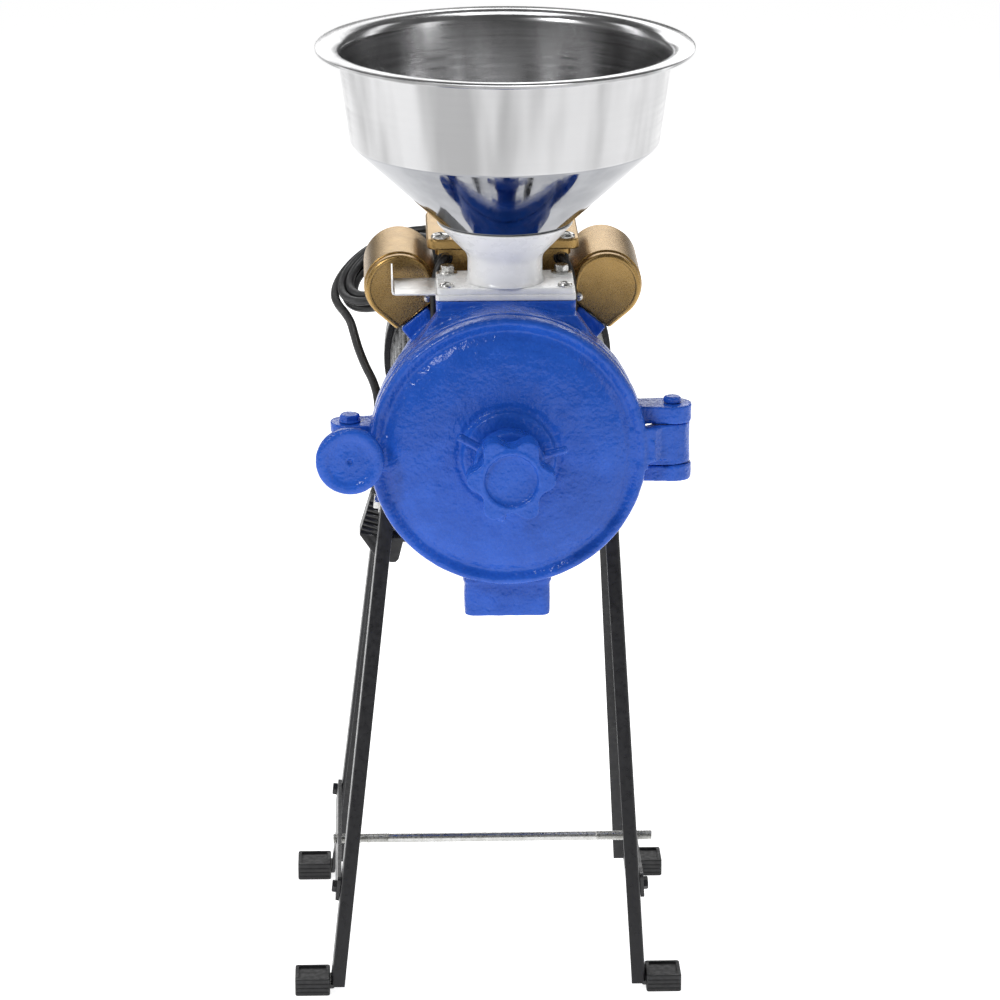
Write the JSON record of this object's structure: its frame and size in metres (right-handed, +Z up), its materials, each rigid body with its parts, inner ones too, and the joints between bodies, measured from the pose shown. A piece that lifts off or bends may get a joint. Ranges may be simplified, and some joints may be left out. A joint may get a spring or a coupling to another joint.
{
  "type": "disc grain mill",
  "caption": "Upright electric disc mill for dry grain with a steel hopper, hinged front cover, discharge spout and splayed four-legged stand.",
  "frame": {"origin": "on the floor, under the middle of the machine without its cord", "axes": "+Z up, +Y from the hinged cover towards the motor, +X towards the cover hinge"},
  "size_m": [0.3134, 0.383, 0.739],
  "materials": {
    "blue_cast_paint": "glossy cobalt blue enamel over pebbly sand-cast iron",
    "gold_hammer_paint": "satin gold paint with a fine grain",
    "hopper_steel": "spun stainless steel, brushed on the wall and bright on the cone",
    "gate_steel": "polished stainless sheet",
    "white_plastic": "milky white moulded plastic",
    "cast_iron": "bare machined cast iron",
    "zinc_steel": "zinc plated steel",
    "shaft_steel": "turned steel",
    "motor_black_paint": "satin black paint",
    "core_steel": "laminated core steel",
    "black_plastic": "black moulded plastic",
    "leg_black_paint": "semi-gloss black powder coat on bent steel",
    "foot_rubber": "matt black rubber",
    "cord_rubber": "black rubber cord sheath"
  },
  "bodies": {
    "frame": {"chamber_housing": "blue_cast_paint", "feed_inlet": "blue_cast_paint", "hinge_pin": "blue_cast_paint", "clamp_pin": "blue_cast_paint", "motor_front_bell": "blue_cast_paint", "left_capacitor_housing": "gold_hammer_paint", "right_capacitor_housing": "gold_hammer_paint", "junction_box_body": "gold_hammer_paint", "junction_box_lid": "gold_hammer_paint", "throat_base": "white_plastic", "feed_throat": "white_plastic", "cross_rod": "zinc_steel", "front_left_leg_bolt": "zinc_steel", "front_right_leg_bolt": "zinc_steel", "rear_left_leg_bolt": "zinc_steel", "rear_right_leg_bolt": "zinc_steel", "front_bearing": "shaft_steel", "rear_bearing": "shaft_steel", "stator_shell": "motor_black_paint", "rear_end_bell": "motor_black_paint", "fan_cover": "motor_black_paint", "stator_core": "core_steel", "left_capacitor": "black_plastic", "right_capacitor": "black_plastic", "plug": "black_plastic", "cord_gland": "black_plastic", "front_foot_bracket": "leg_black_paint", "rear_foot_bracket": "leg_black_paint", "left_brace": "leg_black_paint", "right_brace": "leg_black_paint", "front_left_leg": "leg_black_paint", "front_right_leg": "leg_black_paint", "rear_left_leg": "leg_black_paint", "rear_right_leg": "leg_black_paint", "front_left_rubber_foot": "foot_rubber", "front_right_rubber_foot": "foot_rubber", "rear_left_rubber_foot": "foot_rubber", "rear_right_rubber_foot": "foot_rubber", "left_capacitor_lead": "cord_rubber", "right_capacitor_lead": "cord_rubber", "cord_lead_in": "cord_rubber", "cord_coil": "cord_rubber", "cord_tail": "cord_rubber"},
    "cover": {"cover": "blue_cast_paint"},
    "disc_carrier": {"pressure_plate": "cast_iron", "fixed_disc": "cast_iron"},
    "knob": {"star_knob": "blue_cast_paint", "adjusting_screw": "zinc_steel"},
    "lock_nut": {"lock_nut": "blue_cast_paint"},
    "clamp_wheel": {"handwheel": "blue_cast_paint", "clamp_screw": "zinc_steel"},
    "gate": {"slide_gate": "gate_steel"},
    "hopper": {"hopper": "hopper_steel"},
    "rotor": {"main_shaft": "shaft_steel", "feed_auger": "cast_iron", "turning_disc": "cast_iron", "rotor_core": "core_steel", "cooling_fan": "black_plastic"}
  },
  "joints": [
    {"name": "cover_hinge", "type": "hinge", "parent": "frame", "child": "cover", "pos_m": [0.13869, -0.0915, 0.438], "axis": [0, 0, 1], "range_deg": [0, 120]},
    {"name": "disc_slide", "type": "slide", "parent": "cover", "child": "disc_carrier", "axis": [0, -1, 0], "range_m": [0, 0.00605]},
    {"name": "knob_turn", "type": "hinge", "parent": "disc_carrier", "child": "knob", "pos_m": [0.01169, -0.1755, 0.438], "axis": [0, -1, 0], "range_deg": [0, 1080]},
    {"name": "lock_nut_turn", "type": "hinge", "parent": "cover", "child": "lock_nut", "pos_m": [0.01169, -0.1515, 0.438], "axis": [0, -1, 0], "range_deg": [0, 360]},
    {"name": "clamp_wheel_turn", "type": "hinge", "parent": "cover", "child": "clamp_wheel", "pos_m": [-0.10931, -0.1255, 0.438], "axis": [0, -1, 0], "range_deg": [0, 1080]},
    {"name": "gate_slide", "type": "slide", "parent": "frame", "child": "gate", "axis": [-1, 0, 0], "range_m": [0, 0.05]},
    {"name": "hopper_lift", "type": "slide", "parent": "frame", "child": "hopper", "axis": [0, 0, 1], "range_m": [0, 0.1]},
    {"name": "shaft_spin", "type": "hinge", "parent": "frame", "child": "rotor", "pos_m": [0.01169, -0.0055, 0.438], "axis": [0, -1, 0], "continuous": true}
  ],
  "couplings": [
    {"joint": "disc_slide", "follows": "knob_turn", "m_per_rad": 0.00031831}
  ]
}
